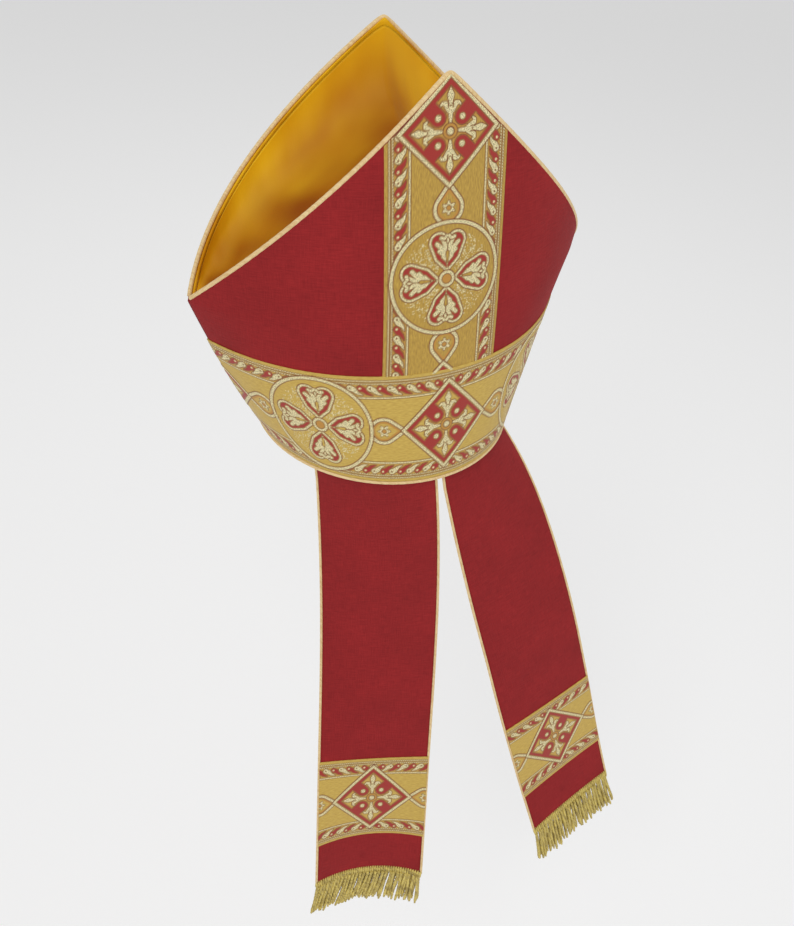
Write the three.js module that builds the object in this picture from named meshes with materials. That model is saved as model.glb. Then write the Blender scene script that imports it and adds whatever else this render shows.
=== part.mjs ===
// Bishop's mitre with two lappets, as worn. Millimetres, +Z up.
// Origin: centre of the head opening, in the plane of the rim. The wearer faces -Y,
// so the back panel and the lappets are on +Y and the wearer's left is +X.
import * as THREE from 'three';

// ---- driving dimensions of the stiff form -------------------------------------------
const RIM_RADIUS = 97.5;          // outer face of the panels at the rim
const CORNER_HEIGHT = 122;        // where the side seam ends and the slopes begin
const CORNER_HALF_WIDTH = 181;    // centre line to corner, measured along the cloth
const PEAK_HEIGHT = 285;
const CENTRE_LEAN = 0.117;        // inward lean of the centre line, mm per mm
const CENTRE_CURVE = 0.00019;     // extra lean that grows with height, per mm
const SLOPE_FLATTENING = 0.5;     // growth of the section radius above the corners

// ---- layers, as depths inward from the outer face of the panels ------------------------
const GAP = 0.3;
const PANEL_THICKNESS = 1.8;
const LINING_THICKNESS = 1.5;
const GALLOON_THICKNESS = 1.0;
const GALLOON_GAP = 0.5;          // galloon to cloth: both are faceted
const LINING_DEPTH = PANEL_THICKNESS + GAP;
const GALLOON_DEPTH = -(GALLOON_GAP + GALLOON_THICKNESS);
const GUSSET_GAP = 1.0;           // the web and the linings are faceted differently
const GUSSET_DEPTH = LINING_DEPTH + LINING_THICKNESS + GUSSET_GAP;
const GUSSET_DROP = 2.0;          // thickness of the gusset, measured upright

// ---- woven galloon, cords and gusset --------------------------------------------------
const GALLOON_WIDTH = 88;
const GALLOON_EDGE_INSET = 3;     // clear of the piping along the slopes
const EDGE_CORD_RADIUS = 1.5;
const EDGE_CORD_GAP = 0.5;
const RIM_CORD_RADIUS = 1.3;
const PEAK_BEND = 4;              // radius of the cord's turn over the peak
const TIP_HALF_WIDTH = 2.5;       // a panel's tip is cut off this narrow, under the cord
const GUSSET_TOP = 250;           // the gusset meets the linings no higher than this
const GUSSET_DIP = 0.8;           // valley depth as a share of half the gap it spans
const GUSSET_CORNER_GAP = 14;     // the gusset stops this far short of a corner
const GUSSET_SEAM_GAP = 1.0;      // room left at the side seams, where the halves meet
const LINING_TRIM = 1.5;          // the linings stop this far below the peak

// ---- lappets -----------------------------------------------------------------------------
const LAPPET_TUCK = 10;           // length sewn inside the rim
const LAPPET_THICKNESS = 1.6;
const LAPPET_TOP_WIDTH = 91.5;
const LAPPET_HEM_WIDTH = 94;
const LAPPET_CORD_RADIUS = 1.1;
const LAPPET_CORD_GAP = 0.8;
const LAPPET_TOP_RADIUS = 90.9;   // the sewn ends lie on this circle, inside the lining
const LAPPET_PARTING = 1;         // half the gap between the two lappets at the rim
const PARTING_OFFSET = 5;         // the gap lies this far towards the wearer's right
const CAMBER_HOLD = 14;           // the rim's curve stays in the cloth this far down
const CAMBER_FADE = 120;          // and then dies away over about this length
const ORPHREY_TO_HEM = 45.5;       // plain cloth between the galloon and the hem
const FRINGE_LENGTH = 40;
const FRINGE_THICKNESS = 4;
const FRINGE_OVERHANG = 1;        // the fringe is this much wider than the hem on either side
const FRINGE_SPREAD = 3;          // and flares to this much at its foot

// ---- facets ------------------------------------------------------------------------------
const PANEL_COLUMNS = 22;         // across a panel, shared by all that lies on it
const PANEL_RIM_ROWS = 7;         // from the rim to the corners
const PANEL_ROWS = 17;            // from the rim to the peak
const GUSSET_COLUMNS = 24;
const GUSSET_ROWS = 8;
const BAND_ROWS = 5;
const STRIP_COLUMNS = 8;
const STRIP_ROWS = 10;
const CORD_SIDES = 6;
const SLOPE_CORD_STEPS = 44;
const RIM_CORD_STEPS = 60;
const LAPPET_CORD_STEPS = 22;
const LAPPET_COLUMNS = 6;
const LAPPET_ROWS = 24;
const LAPPET_GALLOON_ROWS = 6;
const FRINGE_ROWS = 3;

// Each lappet's middle line, a row each third of the way from the rim to the hem.
// x, y, z: place in mm; facing: turn of the cloth about Z, tilt: dip of its +X edge, degrees.
const TOP_REACH = LAPPET_TOP_WIDTH / 2 + LAPPET_CORD_GAP + 2 * LAPPET_CORD_RADIUS + LAPPET_PARTING;

/** Row where a lappet leaves the rim, from its signed arc length off the centre back. */
function topRow(arc) {
  const turn = arc / LAPPET_TOP_RADIUS;
  return {
    x: LAPPET_TOP_RADIUS * Math.sin(turn),
    y: LAPPET_TOP_RADIUS * Math.cos(turn),
    z: 0,
    facing: -THREE.MathUtils.radToDeg(turn),
    tilt: 0,
  };
}

const LAPPETS = [
  {
    name: 'left_lappet',
    rows: [
      topRow(TOP_REACH - PARTING_OFFSET),
      { x: 34, y: 96, z: -142, facing: -24, tilt: -4 },
      { x: 43, y: 130, z: -283, facing: -18, tilt: 0 },
      { x: 51.7, y: 158, z: -413, facing: -17, tilt: 0 },
    ],
  },
  {
    name: 'right_lappet',
    rows: [
      topRow(-TOP_REACH - PARTING_OFFSET),
      { x: -88, y: 111, z: -136, facing: 12, tilt: -13 },
      { x: -123, y: 140, z: -271, facing: 9, tilt: -12 },
      { x: -154.8, y: 171.8, z: -399, facing: 13, tilt: -9 },
    ],
  },
];

const redCloth = new THREE.MeshStandardMaterial({ color: 0x9a2b2e, roughness: 0.85, metalness: 0 });
const goldSatin = new THREE.MeshStandardMaterial({ color: 0xd6a521, roughness: 0.4, metalness: 0 });
const wovenGalloon = new THREE.MeshStandardMaterial({ color: 0xc2a048, roughness: 0.6, metalness: 0.2 });
const creamCord = new THREE.MeshStandardMaterial({ color: 0xebcb8d, roughness: 0.7, metalness: 0 });
const goldFringe = new THREE.MeshStandardMaterial({ color: 0xb9a23f, roughness: 0.75, metalness: 0.1 });

// ---- the form: a round arc at every height, front and back --------------------------------
const rimHalfWidth = RIM_RADIUS * Math.PI / 2;
const slopeAngle = Math.atan2(PEAK_HEIGHT - CORNER_HEIGHT, CORNER_HALF_WIDTH);
const panelTop = PEAK_HEIGHT - TIP_HALF_WIDTH * Math.tan(slopeAngle);

/** Distance of a panel's centre line from the middle plane at height z. */
function centreDepth(z) {
  const height = Math.max(z, 0);
  return RIM_RADIUS - CENTRE_LEAN * height - CENTRE_CURVE * height * height;
}

/** Cloth width from the centre line to the side seam, up to the corners. */
function seamHalfWidth(z) {
  return THREE.MathUtils.lerp(rimHalfWidth, CORNER_HALF_WIDTH, Math.max(z, 0) / CORNER_HEIGHT);
}

/** Radius of the arc of given half length whose ends meet the middle plane. */
function arcRadius(halfLength, depth) {
  let low = halfLength / Math.PI;
  let high = halfLength * 100;
  for (let step = 0; step < 60; step += 1) {
    const middle = (low + high) / 2;
    const tooTight = middle * (1 - Math.cos(halfLength / middle)) > depth;
    low = tooTight ? middle : low;
    high = tooTight ? high : middle;
  }
  return (low + high) / 2;
}

const cornerRadius = arcRadius(CORNER_HALF_WIDTH, centreDepth(CORNER_HEIGHT));

/** Section radius of the outer face at height z. */
function sectionRadius(z) {
  return z <= CORNER_HEIGHT
    ? arcRadius(seamHalfWidth(z), centreDepth(z))
    : cornerRadius + SLOPE_FLATTENING * (z - CORNER_HEIGHT);
}

/** Point of a layer: side +1 is the back, -1 the front; depth is inward. */
function formPoint(side, angle, z, depth) {
  const radius = sectionRadius(z);
  const inner = radius - depth;
  const y = centreDepth(z) - radius + inner * Math.cos(angle);
  return new THREE.Vector3(inner * Math.sin(angle), side * y, z);
}

/** Half width of the cloth on the slope, measured along it, at height z. */
function slopeHalfWidth(z) {
  return (PEAK_HEIGHT - z) / Math.tan(slopeAngle);
}

/** Angle where a layer stops: at the mitred side seam or at the slope. */
function endAngle(z, depth, seamGap) {
  const radius = sectionRadius(z);
  const cosine = (radius - centreDepth(z) + seamGap) / (radius - depth);
  const seam = Math.acos(Math.min(cosine, 1));
  return z <= CORNER_HEIGHT ? seam : Math.min(seam, slopeHalfWidth(z) / radius);
}

// ---- mesh makers ------------------------------------------------------------------------
/** Closed body from vertices and triangles, turned so that its faces point out. */
function closedBody(points, triangles) {
  let volume = 0;
  for (const [a, b, c] of triangles) {
    volume += points[a].dot(new THREE.Vector3().crossVectors(points[b], points[c]));
  }
  const faces = volume < 0 ? triangles.map(([a, b, c]) => [a, c, b]) : triangles;
  const geometry = new THREE.BufferGeometry().setFromPoints(points);
  geometry.setIndex(faces.flat());
  geometry.computeVertexNormals();
  return geometry;
}

/**
 * Wall between two surfaces over the same grid. outer(u, v) and inner(u, v) take 0..1;
 * a ring is closed in u.
 */
function wall(outer, inner, columns, rows, ring = false) {
  const points = [];
  const across = ring ? columns : columns + 1;
  const layerSize = across * (rows + 1);
  for (const surface of [outer, inner]) {
    for (let row = 0; row <= rows; row += 1) {
      for (let column = 0; column < across; column += 1) {
        points.push(surface(column / columns, row / rows));
      }
    }
  }
  const at = (layer, column, row) => layer * layerSize + row * across + (column % across);
  const triangles = [];
  const quad = (a, b, c, d) => triangles.push([a, b, c], [a, c, d]);
  for (let row = 0; row < rows; row += 1) {
    for (let column = 0; column < columns; column += 1) {
      quad(at(0, column, row), at(0, column + 1, row), at(0, column + 1, row + 1), at(0, column, row + 1));
      quad(at(1, column, row), at(1, column, row + 1), at(1, column + 1, row + 1), at(1, column + 1, row));
    }
    if (!ring) {
      quad(at(0, 0, row), at(0, 0, row + 1), at(1, 0, row + 1), at(1, 0, row));
      quad(at(0, columns, row), at(1, columns, row), at(1, columns, row + 1), at(0, columns, row + 1));
    }
  }
  for (let column = 0; column < columns; column += 1) {
    quad(at(0, column, 0), at(1, column, 0), at(1, column + 1, 0), at(0, column + 1, 0));
    quad(at(0, column, rows), at(0, column + 1, rows), at(1, column + 1, rows), at(1, column, rows));
  }
  return closedBody(points, triangles);
}

/** Round cord along a smooth path. */
function cord(points, radius, steps) {
  const section = new THREE.Shape();
  for (let side = 0; side < CORD_SIDES; side += 1) {
    const angle = 2 * Math.PI * side / CORD_SIDES;
    const x = radius * Math.cos(angle);
    const y = radius * Math.sin(angle);
    if (side === 0) {
      section.moveTo(x, y);
    } else {
      section.lineTo(x, y);
    }
  }
  const path = new THREE.CatmullRomCurve3(points, false, 'centripetal');
  return new THREE.ExtrudeGeometry(section, { steps, bevelEnabled: false, extrudePath: path });
}

const mitre = new THREE.Group();
mitre.name = 'bishop_mitre';

function addPiece(name, geometry, material) {
  const mesh = new THREE.Mesh(geometry, material);
  mesh.name = name;
  mitre.add(mesh);
}

// ---- panels and linings -------------------------------------------------------------------
/** Stiff half from rim to peak, between two depths, lowered along the slope by trim. */
function panelWall(side, outerDepth, innerDepth, trim) {
  const height = (v) => {
    const row = v * PANEL_ROWS;
    const lower = CORNER_HEIGHT * row / PANEL_RIM_ROWS;
    const upper = (row - PANEL_RIM_ROWS) / (PANEL_ROWS - PANEL_RIM_ROWS);
    return row <= PANEL_RIM_ROWS ? lower : THREE.MathUtils.lerp(CORNER_HEIGHT, panelTop, upper);
  };
  const surface = (depth) => (u, v) => {
    const form = height(v);
    const z = form * (PEAK_HEIGHT - trim) / PEAK_HEIGHT;
    const angle = Math.min(endAngle(form, depth, GAP / 2), endAngle(z, depth, GAP / 2));
    return formPoint(side, side * (2 * u - 1) * angle, z, depth);
  };
  return wall(surface(outerDepth), surface(innerDepth), PANEL_COLUMNS, PANEL_ROWS);
}

for (const [name, side] of [['back', 1], ['front', -1]]) {
  addPiece(`${name}_panel`, panelWall(side, 0, PANEL_THICKNESS, 0), redCloth);
  const liningFace = LINING_DEPTH + LINING_THICKNESS;
  addPiece(`${name}_lining`, panelWall(side, LINING_DEPTH, liningFace, LINING_TRIM), goldSatin);
}

// ---- gusset: the satin web slung between the slopes ------------------------------------------
/** Where the web meets a lining, for a place along the cloth from one corner to the other. */
function gussetEnd(side, along) {
  const reach = CORNER_HALF_WIDTH - GUSSET_CORNER_GAP;
  const slopeZ = PEAK_HEIGHT - Math.abs(along) * reach * Math.tan(slopeAngle);
  const z = Math.min(slopeZ - GUSSET_DEPTH, GUSSET_TOP);
  const angle = along * reach / sectionRadius(z);
  const limit = endAngle(z, GUSSET_DEPTH, GUSSET_SEAM_GAP);
  return formPoint(side, THREE.MathUtils.clamp(angle, -limit, limit), z, GUSSET_DEPTH);
}

function gussetPoint(drop) {
  return (u, v) => {
    const front = gussetEnd(-1, 2 * u - 1);
    const back = gussetEnd(1, 2 * u - 1);
    const halfGap = (back.y - front.y) / 2;
    const point = front.lerp(back, v);
    point.z -= GUSSET_DIP * halfGap * (1 - (2 * v - 1) ** 2) + drop;
    return point;
  };
}

const gusset = wall(gussetPoint(0), gussetPoint(GUSSET_DROP), GUSSET_COLUMNS, GUSSET_ROWS);
addPiece('lining_gusset', gusset, goldSatin);

// ---- galloon: a ring at the rim and an upright strip up each panel -----------------------------
/** Ring surface at a depth; u runs round the head from one side seam. */
function bandSurface(depth) {
  return (u, v) => {
    const z = GAP + v * GALLOON_WIDTH;
    const side = u < 0.5 ? 1 : -1;
    const half = (u % 0.5) * 2;
    const angle = (2 * half - 1) * endAngle(z, depth, 0);
    return formPoint(side, side * angle, z, depth);
  };
}

const band = wall(
  bandSurface(GALLOON_DEPTH), bandSurface(-GALLOON_GAP), 2 * PANEL_COLUMNS, BAND_ROWS, true);
addPiece('headband_orphrey', band, wovenGalloon);

/** Upright strip, its top cut to the two slopes. */
function orphreySurface(side, depth) {
  return (u, v) => {
    const along = side * (2 * u - 1) * GALLOON_WIDTH / 2;
    const bottom = GALLOON_WIDTH + 2 * GAP;
    const top = PEAK_HEIGHT - GALLOON_EDGE_INSET - Math.abs(along) * Math.tan(slopeAngle);
    const z = THREE.MathUtils.lerp(bottom, top, v);
    return formPoint(side, along / sectionRadius(z), z, depth);
  };
}

for (const [name, side] of [['back_orphrey', 1], ['front_orphrey', -1]]) {
  const [face, back] = [GALLOON_DEPTH, -GALLOON_GAP].map((depth) => orphreySurface(side, depth));
  const strip = wall(face, back, STRIP_COLUMNS, STRIP_ROWS);
  addPiece(name, strip, wovenGalloon);
}

// ---- piping on the slopes and round the rim ------------------------------------------------------
/** Middle of the cord that sits on a panel's slope, from corner over the peak to corner. */
function slopeCordPoints(side) {
  const clear = EDGE_CORD_RADIUS + EDGE_CORD_GAP;
  const peak = PEAK_HEIGHT + clear / Math.cos(slopeAngle);
  const depth = (PANEL_THICKNESS + GAP) / 2;
  const start = CORNER_HALF_WIDTH - EDGE_CORD_RADIUS;
  const spans = 12;
  const half = [];
  for (let span = 0; span < spans; span += 1) {
    half.push(THREE.MathUtils.lerp(start, PEAK_BEND, span / (spans - 1)));
  }
  const offsets = [...half, 0, ...half.slice().reverse().map((along) => -along)];
  return offsets.map((along) => {
    const bend = PEAK_BEND * Math.tan(slopeAngle) / 2;
    const z = along === 0 ? peak - bend : peak - Math.abs(along) * Math.tan(slopeAngle);
    return formPoint(side, along / sectionRadius(z), z, depth);
  });
}

for (const [name, side] of [['back_edge_piping', 1], ['front_edge_piping', -1]]) {
  const points = slopeCordPoints(side).filter((point) => side * point.y > EDGE_CORD_RADIUS + GAP);
  addPiece(name, cord(points, EDGE_CORD_RADIUS, SLOPE_CORD_STEPS), creamCord);
}

const rimCord = new THREE.TorusGeometry(RIM_RADIUS, RIM_CORD_RADIUS, CORD_SIDES, RIM_CORD_STEPS);
rimCord.translate(0, 0, -(RIM_CORD_RADIUS + GAP));
addPiece('rim_piping', rimCord, creamCord);

// ---- lappets ------------------------------------------------------------------------------------------
/** Smooth value of a column at share t of the way down, through the four rows. */
function throughRows(rows, column, t) {
  const values = rows.map((row) => row[column]);
  const thirds = t * (values.length - 1);
  return values.reduce((sum, value, index) => {
    let weight = 1;
    for (let other = 0; other < values.length; other += 1) {
      weight *= other === index ? 1 : (thirds - other) / (index - other);
    }
    return sum + value * weight;
  }, 0);
}

/** Frames down a lappet: middle point, direction across, direction out, and length so far. */
function lappetFrames(rows) {
  const steps = 60;
  const frames = [];
  let along = 0;
  for (let step = 0; step <= steps; step += 1) {
    const t = step / steps;
    const place = (share) => new THREE.Vector3(
      throughRows(rows, 'x', share), throughRows(rows, 'y', share), throughRows(rows, 'z', share));
    const nudge = 0.001;
    const down = place(t + nudge).sub(place(t - nudge)).normalize();
    const turn = THREE.MathUtils.degToRad(throughRows(rows, 'facing', t));
    const tilt = THREE.MathUtils.degToRad(throughRows(rows, 'tilt', t));
    const across = new THREE.Vector3(
      Math.cos(tilt) * Math.cos(turn), Math.cos(tilt) * Math.sin(turn), Math.sin(tilt));
    across.addScaledVector(down, -across.dot(down)).normalize();
    const out = new THREE.Vector3().crossVectors(across, down);
    const middle = place(t);
    along += step === 0 ? 0 : middle.distanceTo(frames[step - 1].middle);
    frames.push({ along, middle, across, out });
  }
  return frames;
}

/** Surface of one lappet: place(along, sideways, lift) with along measured from the rim. */
function lappetForm(rows) {
  const frames = lappetFrames(rows);
  const { along: hem } = frames[frames.length - 1];
  const tuckUp = new THREE.Vector3(0, -CENTRE_LEAN, 1).normalize();
  const place = (along, sideways, lift) => {
    const reach = THREE.MathUtils.clamp(along, 0, hem);
    const upper = Math.max(frames.findIndex((frame) => frame.along >= reach), 1);
    const [above, below] = [frames[upper - 1], frames[upper]];
    const share = (reach - above.along) / (below.along - above.along);
    const middle = above.middle.clone().lerp(below.middle, share);
    const across = above.across.clone().lerp(below.across, share).normalize();
    const out = above.out.clone().lerp(below.out, share).normalize();
    if (along < 0) {
      middle.addScaledVector(tuckUp, -along);
    }
    if (along > hem) {
      middle.addScaledVector(new THREE.Vector3().crossVectors(out, across), along - hem);
    }
    const camber = Math.exp(-Math.max(along - CAMBER_HOLD, 0) / CAMBER_FADE) / LAPPET_TOP_RADIUS;
    const angle = sideways * camber;
    const radius = 1 / camber + lift;
    return middle
      .addScaledVector(across, radius * Math.sin(angle))
      .addScaledVector(out, radius * Math.cos(angle) - 1 / camber);
  };
  const halfWidth = (along) => THREE.MathUtils.lerp(
    LAPPET_TOP_WIDTH, LAPPET_HEM_WIDTH, THREE.MathUtils.clamp(along / hem, 0, 1)) / 2;
  return { place, halfWidth, hem };
}

/** Slab on a lappet, from start to end down it, between two lifts off its middle surface. */
function lappetSlab(form, start, end, outerLift, innerLift, spread, rows) {
  const surface = (lift) => (u, v) => {
    const along = THREE.MathUtils.lerp(start, end, v);
    const half = form.halfWidth(along) + THREE.MathUtils.lerp(spread[0], spread[1], v);
    return form.place(along, (2 * u - 1) * half, lift);
  };
  return wall(surface(outerLift), surface(innerLift), LAPPET_COLUMNS, rows);
}

for (const { name, rows } of LAPPETS) {
  const form = lappetForm(rows);
  const face = LAPPET_THICKNESS / 2;
  const cloth = lappetSlab(form, -LAPPET_TUCK, form.hem, face, -face, [0, 0], LAPPET_ROWS);
  addPiece(name, cloth, redCloth);

  const top = form.hem - ORPHREY_TO_HEM - GALLOON_WIDTH;
  const galloon = lappetSlab(
    form, top, top + GALLOON_WIDTH, face + GALLOON_GAP + GALLOON_THICKNESS, face + GALLOON_GAP,
    [0, 0], LAPPET_GALLOON_ROWS);
  addPiece(`${name}_orphrey`, galloon, wovenGalloon);

  for (const sign of [1, -1]) {
    const points = [];
    const spans = 20;
    for (let span = 0; span <= spans; span += 1) {
      const along = THREE.MathUtils.lerp(1, form.hem, span / spans);
      const aside = form.halfWidth(along) + LAPPET_CORD_GAP + LAPPET_CORD_RADIUS;
      points.push(form.place(along, sign * aside, 0));
    }
    const inner = (name === 'left_lappet') === (sign < 0);
    const label = inner ? 'inner' : 'outer';
    addPiece(`${name}_${label}_piping`, cord(points, LAPPET_CORD_RADIUS, LAPPET_CORD_STEPS), creamCord);
  }

  const half = FRINGE_THICKNESS / 2;
  const fringe = lappetSlab(
    form, form.hem + GAP, form.hem + FRINGE_LENGTH, half, -half,
    [FRINGE_OVERHANG, FRINGE_SPREAD], FRINGE_ROWS);
  addPiece(`${name}_fringe`, fringe, goldFringe);
}

export default mitre;
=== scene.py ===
"""Bishop's mitre with two fringed lappets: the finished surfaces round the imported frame.

Sizes below are millimetres; a mesh is put into Blender in metres. +Z is up, the wearer
faces -Y, and the middle of the rim is the origin.
"""
from __future__ import annotations

import logging
from dataclasses import dataclass, field
from enum import Enum
from typing import Callable

import bpy
import numpy as np
from mathutils import Matrix, Vector


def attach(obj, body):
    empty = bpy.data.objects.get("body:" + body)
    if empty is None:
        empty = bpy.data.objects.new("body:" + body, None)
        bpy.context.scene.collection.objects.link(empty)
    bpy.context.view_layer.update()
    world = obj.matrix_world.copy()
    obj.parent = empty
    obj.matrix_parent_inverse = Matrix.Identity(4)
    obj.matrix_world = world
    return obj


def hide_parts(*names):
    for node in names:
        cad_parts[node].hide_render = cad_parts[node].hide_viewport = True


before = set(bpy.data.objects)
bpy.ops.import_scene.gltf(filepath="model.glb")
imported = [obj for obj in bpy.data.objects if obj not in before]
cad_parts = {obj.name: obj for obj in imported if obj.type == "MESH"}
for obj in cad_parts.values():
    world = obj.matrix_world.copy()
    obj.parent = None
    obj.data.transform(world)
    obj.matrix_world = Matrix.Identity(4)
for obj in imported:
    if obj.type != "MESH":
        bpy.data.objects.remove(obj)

log = logging.getLogger("mitre")
MM = 0.001
Array = np.ndarray
Material = bpy.types.Material
Socket = bpy.types.NodeSocket
Piece = bpy.types.Object
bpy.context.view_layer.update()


# ---- tools ---------------------------------------------------------------------------------


def linear(hex_colour: str) -> tuple[float, float, float, float]:
    """Turn an sRGB hex colour into linear RGBA.

    Args:
        hex_colour: "#rrggbb".

    Returns:
        Linear red, green, blue and full alpha.
    """
    parts = np.array([int(hex_colour[i:i + 2], 16) for i in (1, 3, 5)]) / 255
    low, high = parts / 12.92, ((parts + 0.055) / 1.055) ** 2.4
    return (*np.where(parts <= 0.04045, low, high).tolist(), 1.0)


def smooth(x: Array, low: float, high: float) -> Array:
    """Ease from 0 at low to 1 at high: 3q^2 - 2q^3 of the clamped share q."""
    q = np.clip((x - low) / (high - low), 0, 1)
    return q * q * (3 - 2 * q)


def ripple(x: Array, y: Array, seed: int, waves: int = 6, pace: float = 0.02) -> Array:
    """Soft unevenness: the mean of a few sines in seeded directions.

    Args:
        x: first place, mm.
        y: second place, mm.
        seed: seed of the directions, rates and starts.
        waves: how many sines.
        pace: typical waves per mm.

    Returns:
        Values from -1 to 1 at the places.
    """
    rng = np.random.default_rng(seed)
    turn = rng.uniform(0, np.pi, waves)
    rate = pace * rng.uniform(0.6, 2.2, waves)
    start = rng.uniform(0, 2 * np.pi, waves)
    total = np.zeros(np.broadcast(x, y).shape)
    for angle, speed, phase in zip(turn, rate, start):
        total = total + np.sin(2 * np.pi * speed * (x * np.cos(angle) + y * np.sin(angle)) + phase)
    return total / waves


def unit(v: Array) -> Array:
    """Scale vectors along the last axis to length one."""
    return v / np.maximum(np.linalg.norm(v, axis=-1, keepdims=True), 1e-9)


def grid_faces(rows: int, columns: int, wrap: bool = False, start: int = 0) -> Array:
    """Quads of a grid of points stored row by row.

    Args:
        rows: rows of points.
        columns: points in a row.
        wrap: whether the last column joins the first.
        start: number of the grid's first point.

    Returns:
        (n, 4) corner numbers.
    """
    spans = columns if wrap else columns - 1
    r, c = np.meshgrid(np.arange(rows - 1), np.arange(spans), indexing="ij")
    n = (c + 1) % columns
    quads = np.stack([r * columns + c, r * columns + n, (r + 1) * columns + n, (r + 1) * columns + c], -1)
    return quads.reshape(-1, 4) + start


def rim_of(index: Array) -> Array:
    """Numbers once round the edge of a grid of point numbers."""
    return np.concatenate([index[0], index[1:, -1], index[-1, -2::-1], index[-2:0:-1, 0]])


def make_piece(name: str, points: Array, quads: Array, flat: Array, slot: str, material: Material,
               node: str | None, attributes: dict[str, Array] | None = None) -> Piece:
    """Put points and faces into a mesh object, dress it and hide the CAD part that it stands for.

    Args:
        name: the piece's name.
        points: (n, 3) places in millimetres.
        quads: (m, 4) or (m, 3) corner numbers.
        flat: (n, 2) place of each point in the cloth as cut, in millimetres.
        slot: not used.
        material: its finish.
        node: the CAD node that it stands for, if any.
        attributes: (n, 3) values a material reads at each point.

    Returns:
        The new object.
    """
    mesh = bpy.data.meshes.new(name)
    sides = quads.shape[1]
    mesh.vertices.add(len(points))
    mesh.vertices.foreach_set("co", (points * MM).astype(np.float32).ravel())
    mesh.loops.add(quads.size)
    mesh.loops.foreach_set("vertex_index", quads.astype(np.int32).ravel())
    mesh.polygons.add(len(quads))
    mesh.polygons.foreach_set("loop_start", np.arange(0, quads.size, sides, dtype=np.int32))
    mesh.polygons.foreach_set("use_smooth", np.ones(len(quads), dtype=bool))
    mesh.update(calc_edges=True)
    for key, values in (attributes or {}).items():
        layer = mesh.color_attributes.new(key, "FLOAT_COLOR", "POINT")
        rgba = np.ones((len(points), 4), np.float32)
        rgba[:, :3] = values
        layer.data.foreach_set("color", rgba.ravel())
    uv = mesh.uv_layers.new(name="cloth")
    uv.data.foreach_set("uv", (flat[quads.ravel()] * MM).astype(np.float32).ravel())
    mesh.validate()
    mesh.materials.append(material)
    piece = bpy.data.objects.new(name, mesh)
    bpy.context.scene.collection.objects.link(piece)
    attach(piece, "root")
    if node:
        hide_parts(node)
    log.info("%s: %d faces", name, len(quads))
    return piece


def outward(points: Array, quads: Array) -> Array:
    """Turn all faces of a closed mesh round if its signed volume is negative.

    Args:
        points: (n, 3) places.
        quads: (m, 4) or (m, 3) corner numbers, all turned one way.

    Returns:
        The faces with their normals outward.
    """
    a, b, c = (points[quads[:, i]] for i in (0, 1, 2))
    volume = np.einsum("ij,ij->i", a, np.cross(b, c)).sum()
    if quads.shape[1] == 4:
        volume += np.einsum("ij,ij->i", a, np.cross(c, points[quads[:, 3]])).sum()
    return quads if volume > 0 else quads[:, ::-1]


def wall(outer: Array, inner: Array) -> tuple[Array, Array]:
    """Close two matching grids into one wall, with a strip of quads round their edge.

    Args:
        outer: (rows, columns, 3) outer face.
        inner: the same grid on the inner face.

    Returns:
        Points and outward quads.
    """
    rows, columns = outer.shape[:2]
    half = rows * columns
    loop = rim_of(np.arange(half).reshape(rows, columns))
    following = np.roll(loop, -1)
    faces = [grid_faces(rows, columns), grid_faces(rows, columns, start=half)[:, ::-1],
             np.stack([following, loop, loop + half, following + half], -1)]
    points = np.concatenate([outer.reshape(-1, 3), inner.reshape(-1, 3)])
    return points, outward(points, np.concatenate(faces))


def carry(path: Array, section: Callable[[Array, Array], Array], sides: int, closed: bool = False,
          upright: tuple[float, float, float] = (0.0, 1.0, 0.3)) -> tuple[Array, Array]:
    """Carry a round section along a path.

    At each point the section's radius is section(turn, length so far), laid in the plane
    square to the path, between a sideways and an upright direction.

    Args:
        path: (n, 3) middle line.
        section: radius from turn (1, sides) and length (n, 1).
        sides: points round the section.
        closed: whether the path is a ring.
        upright: direction that the frame leans on.

    Returns:
        Points, and outward quads for a ring or triangles for a cord with two ends, each
        closed by a fan to its middle.
    """
    ahead = np.roll(path, -1, 0) - np.roll(path, 1, 0)
    if not closed:
        ahead[0], ahead[-1] = path[1] - path[0], path[-1] - path[-2]
    ahead = unit(ahead)
    aside = unit(np.cross(ahead, np.array(upright)))
    up = np.cross(aside, ahead)
    step = np.linalg.norm(np.diff(path, axis=0), axis=1)
    length = np.concatenate([[0], np.cumsum(step)])[:, None]
    turn = np.linspace(0, 2 * np.pi, sides, endpoint=False)[None, :]
    radius = section(turn, length)[..., None]
    wheel = np.cos(turn)[..., None] * aside[:, None] + np.sin(turn)[..., None] * up[:, None]
    points = (path[:, None] + radius * wheel).reshape(-1, 3)
    count = len(path)
    if closed:
        return points, outward(points, grid_faces(count + 1, sides, True) % (count * sides))
    points = np.concatenate([points, path[:1], path[-1:]])
    around = np.arange(sides)
    following = (around + 1) % sides
    first, last = np.full(sides, count * sides), np.full(sides, count * sides + 1)
    tail = (count - 1) * sides
    body = grid_faces(count, sides, True)
    triangles = np.concatenate([
        body[:, [0, 1, 2]], body[:, [0, 2, 3]], np.stack([following, around, first], -1),
        np.stack([tail + around, tail + following, last], -1)])
    return points, outward(points, triangles)


# ---- finishes ------------------------------------------------------------------------------


def add_node(material: Material, kind: str, links: dict[str | int, object] | None = None,
             **settings: object) -> bpy.types.Node:
    """Add one shader node.

    Args:
        material: the material it goes into.
        kind: Blender's node type.
        links: input name or number to an output socket or a plain value.
        settings: the node's own properties.

    Returns:
        The node.
    """
    tree = material.node_tree
    node = tree.nodes.new(kind)
    for key, value in settings.items():
        setattr(node, key, value)
    for key, value in (links or {}).items():
        if isinstance(value, Socket):
            tree.links.new(value, node.inputs[key])
        else:
            node.inputs[key].default_value = value
    return node


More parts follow.
